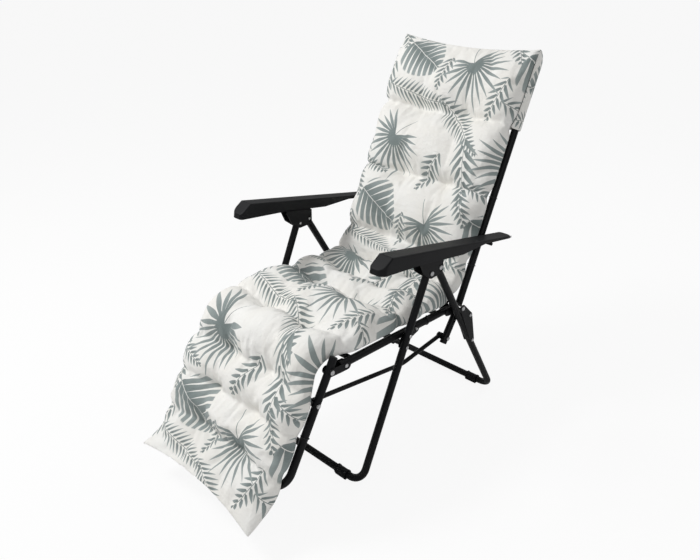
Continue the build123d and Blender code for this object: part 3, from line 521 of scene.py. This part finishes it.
held = bag.vertex_groups.new(name="sewn")
hold = np.zeros(len(bag_points))
hold[bottom_index[1:-1, 1:-1]] = 1.0
for row in sewn_rows:
    line = int(np.argmin(np.abs(runs - row)))
    middle = np.abs(half_share) < 0.55
    hold[top_index[line, middle]] = 0.9
    hold[top_index[line, ~middle]] = 0.45
    for tuft in (-tuft_x, tuft_x):
        spot = int(np.argmin(np.abs(half_share * half_width(row) - tuft)))
        hold[top_index[line, spot - 1:spot + 2]] = 1.0
hem = 0.6
for seam in (top_index[0, :], top_index[-1, :], top_index[:, 0], top_index[:, -1]):
    hold[seam] = hem
for value in np.unique(hold):
    if value > 0:
        held.add([int(v) for v in np.nonzero(hold == value)[0]], float(value), "REPLACE")
stuffing = bag.modifiers.new("stuffing", "CLOTH")
cloth = stuffing.settings
cloth.quality = 6
cloth.mass = 0.25
cloth.tension_stiffness = 12
cloth.compression_stiffness = 12
cloth.shear_stiffness = 4
cloth.bending_stiffness = 0.35
cloth.use_pressure = True
cloth.uniform_pressure_force = 3.5
cloth.shrink_min = -0.05
cloth.vertex_group_mass = "sewn"
cloth.effector_weights.gravity = 0
stuffing.point_cache.frame_start = 1
stuffing.point_cache.frame_end = 30
swelling_steps = 24
for step in range(1, swelling_steps + 1):
    scene.frame_set(step)
swollen = bag.evaluated_get(bpy.context.evaluated_depsgraph_get()).to_mesh()
moved = np.array([v.co for v in swollen.vertices]) - bag_points
reach = np.linalg.norm(moved, axis=1)
most = 0.024
moved *= (np.minimum(reach, most) / np.maximum(reach, 1e-9))[:, None]
bag_points = bag_points + moved
scene.frame_set(1)
bpy.data.objects.remove(bag)

# Cotton of the mat: a plain off-white weave, printed in one grey-green ink with loose tropical leaves.
# The leaves are drawn flat on the cloth, so they bend and pucker with it.
cotton, cotton_surface, cotton_place = new_finish("leaf_print_cotton")
flat = cotton_place.make("ShaderNodeUVMap", {"uv_map": "flat_cloth"})
repeat_x, repeat_y = 0.44, 0.50


def leaf_at(x, y, turn):
    """Coordinates along and across one leaf of the repeat, turned and set at its place."""
    wrapped = flat
    for operation, amounts in (
        ("ADD", (repeat_x * 8.5 - x, repeat_y * 8.5 - y, 0)),
        ("MODULO", (repeat_x, repeat_y, 1.0)),
        ("SUBTRACT", (repeat_x / 2, repeat_y / 2, 0)),
    ):
        wrapped = wrapped.make("ShaderNodeVectorMath", {"operation": operation}, {0: wrapped, 1: amounts})
    turned = wrapped.make(
        "ShaderNodeVectorRotate", {"rotation_type": "Z_AXIS"},
        {"Vector": wrapped, "Angle": -math.radians(turn)},
    )
    ahead = turned.make("ShaderNodeSeparateXYZ", None, {0: turned})
    return ahead, Wire(ahead.socket.node.outputs[1])


def fan_palm(x, y, turn, size, blades):
    """Narrow blades spreading from a hub, longest straight ahead, on a thin stalk."""
    ahead, across = leaf_at(x, y, turn)
    far = (ahead * ahead + across * across) ** 0.5
    bearing = across.maths("ARCTAN2", ahead)
    spread = 4.5
    pitch = spread / blades
    beside = (bearing / pitch + 100.5).maths("FRACT")
    off_blade = abs(beside - 0.5) * far * pitch
    uneven_tip = 0.90 + 0.10 * ((bearing / pitch + 0.5).maths("FLOOR") * 2.4).maths("SINE")
    length = size * (0.80 + 0.20 * bearing.maths("COSINE")) * uneven_tip
    share = far / length
    half = (0.0060 * (share * 2.0).smaller(1.0)) * (1 - share ** 3.0)
    half = half + (1 - share * 3.8).larger(0.0) * 0.016
    blade = (half - off_blade).between(-0.0003, 0.0005)
    in_fan = abs(bearing).between(spread / 2 + 0.02, spread / 2 - 0.02)
    stalk = (0.0011 - abs(across + ahead * ahead * 2.0)).between(-0.0003, 0.0004)
    stalk = stalk * (ahead * -1.0).between(-0.001, 0.001) * (ahead + size * 0.52).between(0.0, 0.002)
    return (blade * in_fan * share.between(1.02, 0.98)).larger(stalk), share


def frond(x, y, turn, length, width, pitch, fill, lean, curl):
    """A curved midrib with a row of leaflets on each side, slanting forward and shrinking to the tip."""
    ahead, across_straight = leaf_at(x, y, turn)
    across = across_straight - (ahead + length * 0.5) ** 2.0 * curl + length * length * curl * 0.3
    share = ahead / length + 0.5
    outline = width * (share * (1 - share) * 4).larger(0.001) ** 0.62 * (1.15 - share * 0.5)
    side_step = abs(across)
    leaflet = ((ahead - side_step * lean) / pitch + 50.0 + across.maths("SIGN") * 0.22).maths("FRACT")
    off = abs(leaflet - 0.5)
    out_share = side_step / outline
    body = fill * (out_share * 5.0).smaller(1.0) * (1 - out_share ** 2.4).larger(0.0)
    inked = (body - off).between(-0.03, 0.05) * out_share.between(1.0, 0.97)
    rib = (0.0009 - side_step).between(-0.0003, 0.0004)
    inside = share.between(0.0, 0.02) * share.between(1.0, 0.98)
    return inked.larger(rib) * inside, out_share


def split_leaf(x, y, turn, length, width, pitch):
    """A broad leaf cut by slits that widen towards its edge, with a pale midrib."""
    ahead, across = leaf_at(x, y, turn)
    share = ahead / length + 0.5
    outline = width * (share * (1 - share) * 4).larger(0.001) ** 0.5 * (1.25 - share * 0.55)
    side_step = abs(across)
    out_share = side_step / outline
    cut = ((ahead - side_step * 0.55) / pitch + 50.0 + across.maths("SIGN") * 0.2).maths("FRACT")
    lobe = 0.5 - 0.20 * (out_share * 1.2 - 0.15).larger(0.0) ** 0.8
    inked = (lobe - abs(cut - 0.5)).between(0.0, 0.035) * out_share.between(1.02, 0.94)
    vein = (side_step - 0.0009).between(-0.0003, 0.0004)
    stalk = (0.0011 - abs(across)).between(-0.0003, 0.0004)
    stalk = stalk * share.between(-0.28, -0.26) * share.between(0.03, 0.0)
    return (inked * vein * share.between(0.0, 0.02) * share.between(1.0, 0.98)).larger(stalk), out_share


leaves = [
    fan_palm(0.085, 0.090, 62, 0.150, 17),
    fan_palm(0.315, 0.345, 118, 0.155, 19),
    split_leaf(0.320, 0.080, 28, 0.178, 0.080, 0.0245),
    frond(0.095, 0.275, 30, 0.265, 0.047, 0.0160, 0.31, 0.75, 0.3),
    frond(0.335, 0.205, 14, 0.240, 0.043, 0.0155, 0.30, 0.70, -0.3),
    frond(0.170, 0.410, 74, 0.210, 0.060, 0.0300, 0.36, 0.95, 0.3),
    frond(0.030, 0.430, 118, 0.145, 0.042, 0.0215, 0.35, 0.85, -0.5),
    frond(0.200, 0.180, 104, 0.140, 0.040, 0.0200, 0.34, 0.80, 0.5),
    frond(0.205, 0.020, 62, 0.120, 0.036, 0.0190, 0.34, 0.80, -0.4),
    frond(0.425, 0.130, 96, 0.115, 0.032, 0.0175, 0.34, 0.80, 0.4),
    frond(0.245, 0.455, 20, 0.110, 0.030, 0.0160, 0.34, 0.80, -0.4),
]
ink, shade = leaves[0]
shade = ink * shade
for mask, depth in leaves[1:]:
    shade = shade.larger(mask * depth)
    ink = ink.larger(mask)
threads = flat.make("ShaderNodeSeparateXYZ", None, {0: flat})
warp_x = (threads * 3900.0).maths("SINE")
weft_y = (Wire(threads.socket.node.outputs[1]) * 3900.0).maths("SINE")
weave = warp_x * weft_y
slub = flat.noise(420.0, 3.0)
uneven = flat.noise(7.0, 4.0)
creased = (flat.noise(34.0, 3.0, 0.6) + flat.noise(90.0, 2.0) * 0.25).bumped(0.0070, 0.8)
cream = uneven.between(0.35, 0.7).mixed((0.83, 0.815, 0.775, 1), (0.865, 0.86, 0.835, 1))
grey_green = shade.between(0.0, 1.0).mixed((0.170, 0.208, 0.205, 1), (0.315, 0.360, 0.355, 1))
printed = (ink * (0.90 + slub * 0.14)).smaller(1.0).mixed(cream, grey_green)
feed(
    cotton_surface,
    Base_Color=printed,
    Roughness=0.86 + slub * 0.08,
    Normal=(weave * 0.5 + slub).bumped(0.00025, 0.5, under=creased),
    Specular_IOR_Level=0.25,
    Sheen_Weight=0.15,
)


cloth_half = 0.262


def mat_length(name, first, last, *nodes):
    """One length of the stuffed mat between two of its cross lines, closed by a wall at an inner end."""
    band = slice(first, last + 1)
    top, under = top_index[band], bottom_index[band]
    faces = [quads(top, bag_volume < 0), quads(under, bag_volume >= 0)]
    for line, turned in ((0, False), (-1, True)):
        if (first if line == 0 else last) in (0, along_count):
            continue
        wall = np.stack((top[line], under[line]))
        faces.append(quads(wall, turned == (bag_volume >= 0)))
    faces = np.concatenate(faces)
    used, flat_faces = np.unique(faces, return_inverse=True)
    flat_faces = flat_faces.reshape(faces.shape)
    mesh = bpy.data.meshes.new(name)
    corners_once = [list(dict.fromkeys(face)) for face in flat_faces.tolist()]
    mesh.from_pydata(bag_points[used].tolist(), [], corners_once)
    mesh.update()
    cloth_place = np.zeros((len(bag_points), 2))
    rows, columns = np.meshgrid(runs, half_share * cloth_half, indexing="ij")
    cloth_place[top_index.ravel()] = np.column_stack((columns.ravel(), rows.ravel()))
    inner = bottom_index[1:-1, 1:-1].ravel()
    cloth_place[inner] = np.column_stack((columns[1:-1, 1:-1].ravel(), rows[1:-1, 1:-1].ravel()))
    cloth_place = cloth_place[used]
    layer = mesh.uv_layers.new(name="flat_cloth")
    corners = np.zeros(len(mesh.loops), int)
    mesh.loops.foreach_get("vertex_index", corners)
    layer.data.foreach_set("uv", cloth_place[corners].astype(np.float32).ravel())
    mesh.polygons.foreach_set("use_smooth", [True] * len(mesh.polygons))
    mesh.materials.append(cotton)
    piece = bpy.data.objects.new(name, mesh)
    scene.collection.objects.link(piece)
    smooth = piece.modifiers.new("finer_cloth", "SUBSURF")
    smooth.levels = smooth.render_levels = 1
    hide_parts(*nodes)
    return piece


def row_point(run):
    place, out = underside(run)
    return (0, place[0], place[1])


mat_upper = mat_length(
    "mat_upper", 0, split_line, "cushion_headrest", "cushion_back", "cushion_hip_fold", "cushion_seat"
)
row_point(sewn_rows[2])
row_point(sewn_rows[4])
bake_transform(mat_upper)
mat_lower = mat_length("mat_lower", split_line, along_count, "cushion_knee_fold", "cushion_leg_rest")
row_point(seat_finish - 0.01)
row_point(shin_begin + 0.01)
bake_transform(mat_lower)


# Hood: the mat's back panel at the headrest, a pocket of the same cotton that slips over the back tube.
# It runs from the seam at one side round behind the tube to the seam at the other.
hood_end, tube_top = 0.243, 0.050
hood_depth = lip_up + tube_r + 0.0042
hood_rows = head_short + (hood_end - head_short) * np.linspace(0, 1, 40) ** 1.3
hood_points, hood_flat = [], []
for run in hood_rows:
    place, out = underside(run)
    open_share = rounded(run - head_short, tube_top - head_short)
    half = half_width(run) - 0.001
    wall = half + (max(half, 0.2530) - half) * open_share
    back = seam_up - (seam_up + hood_depth) * open_share
    slack = 0.0012 * math.sin(run * 55) * open_share
    way = [(half, seam_up), (wall, seam_up + (back - seam_up) * 0.3), (wall + slack, (seam_up + back) / 2)]
    way += [(wall, back + 0.007 * open_share), (wall - 0.007, back)]
    for step in (0.8, 0.6, 0.4, 0.2):
        way.append((wall * step, back - 0.0012 * math.sin(step * 21 + run * 40) * open_share))
    way = [(-x, up) for x, up in way] + [(0, back)] + [(x, up) for x, up in reversed(way)]
    reach = 0.0
    for number, (x, up) in enumerate(way):
        dropped = head_draw * (1 - (x / half) ** 2) * math.exp(-(run - head_short) / draw_reach)
        spot = place + up * out - max(0.0, dropped) * along(back_turn)
        hood_points.append((x, spot[0], spot[1]))
        if number:
            reach += math.dist(way[number - 1], way[number])
        hood_flat.append((reach + cloth_half, run))
hood_index = np.arange(len(hood_points)).reshape(len(hood_rows), -1)
hood_mesh = bpy.data.meshes.new("mat_hood")
hood_mesh.from_pydata(hood_points, [], quads(hood_index, False).tolist())
hood_mesh.update()
if hood_mesh.polygons[len(hood_mesh.polygons) // 2].normal.y < 0:
    hood_mesh.flip_normals()
hood_layer = hood_mesh.uv_layers.new(name="flat_cloth")
hood_corners = np.zeros(len(hood_mesh.loops), int)
hood_mesh.loops.foreach_get("vertex_index", hood_corners)
hood_layer.data.foreach_set("uv", np.array(hood_flat, np.float32)[hood_corners].ravel())
hood_mesh.polygons.foreach_set("use_smooth", [True] * len(hood_mesh.polygons))
hood_mesh.materials.append(cotton)
hood = bpy.data.objects.new("mat_hood", hood_mesh)
scene.collection.objects.link(hood)
hood_cloth = hood.modifiers.new("cloth_thickness", "SOLIDIFY")
hood_cloth.thickness = 0.0018
hood_cloth.offset = -1
hood_finer = hood.modifiers.new("finer_cloth", "SUBSURF")
hood_finer.levels = hood_finer.render_levels = 1
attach(hood, "back_frame")

# Rivets that close the armrests' rear ends: a small zinc dome on each outer side.
# They stand proud of the plastic by a millimetre and a half.
arm_fall = math.radians(10.5)
arm_pivot = np.array((0.0377, 0.600))
arm_tail = arm_pivot + 0.362 * along(-arm_fall) + 0.0655 * along(math.pi / 2 - arm_fall)
arm_side, dome_top, dome_foot, dome_sides = 0.2999, 0.3015, 0.2985, 20
dome_rings = [(0.0042, 0.0), (0.0040, 0.0006), (0.0031, 0.0012), (0.0016, 0.0015)]
for side_name, side in (("left", 1), ("right", -1)):
    dome_points = [
        (side * (arm_side + up), arm_tail[0] + r * math.cos(turn), arm_tail[1] + r * math.sin(turn))
        for r, up in dome_rings for turn in np.linspace(0, math.tau, dome_sides, endpoint=False)
    ]
    top, base = len(dome_points), len(dome_points) + 1
    dome_points += [(side * dome_top, *arm_tail), (side * dome_foot, *arm_tail)]
    last_ring = top - dome_sides
    dome_faces = []
    for k in range(dome_sides):
        after = (k + 1) % dome_sides
        for ring in range(0, last_ring, dome_sides):
            dome_faces.append((ring + k, ring + after, ring + dome_sides + after, ring + dome_sides + k))
        dome_faces += [(last_ring + k, last_ring + after, top), (after, k, base)]
    dome_mesh = bpy.data.meshes.new("armrest_rivet_" + side_name)
    dome_mesh.from_pydata(dome_points, [], dome_faces)
    if side < 0:
        dome_mesh.flip_normals()
    dome_mesh.polygons.foreach_set("use_smooth", [True] * len(dome_mesh.polygons))
    dome_mesh.materials.append(zinc)
    dome = bpy.data.objects.new("armrest_rivet_" + side_name, dome_mesh)
    scene.collection.objects.link(dome)
    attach(dome, "armrest_" + side_name)
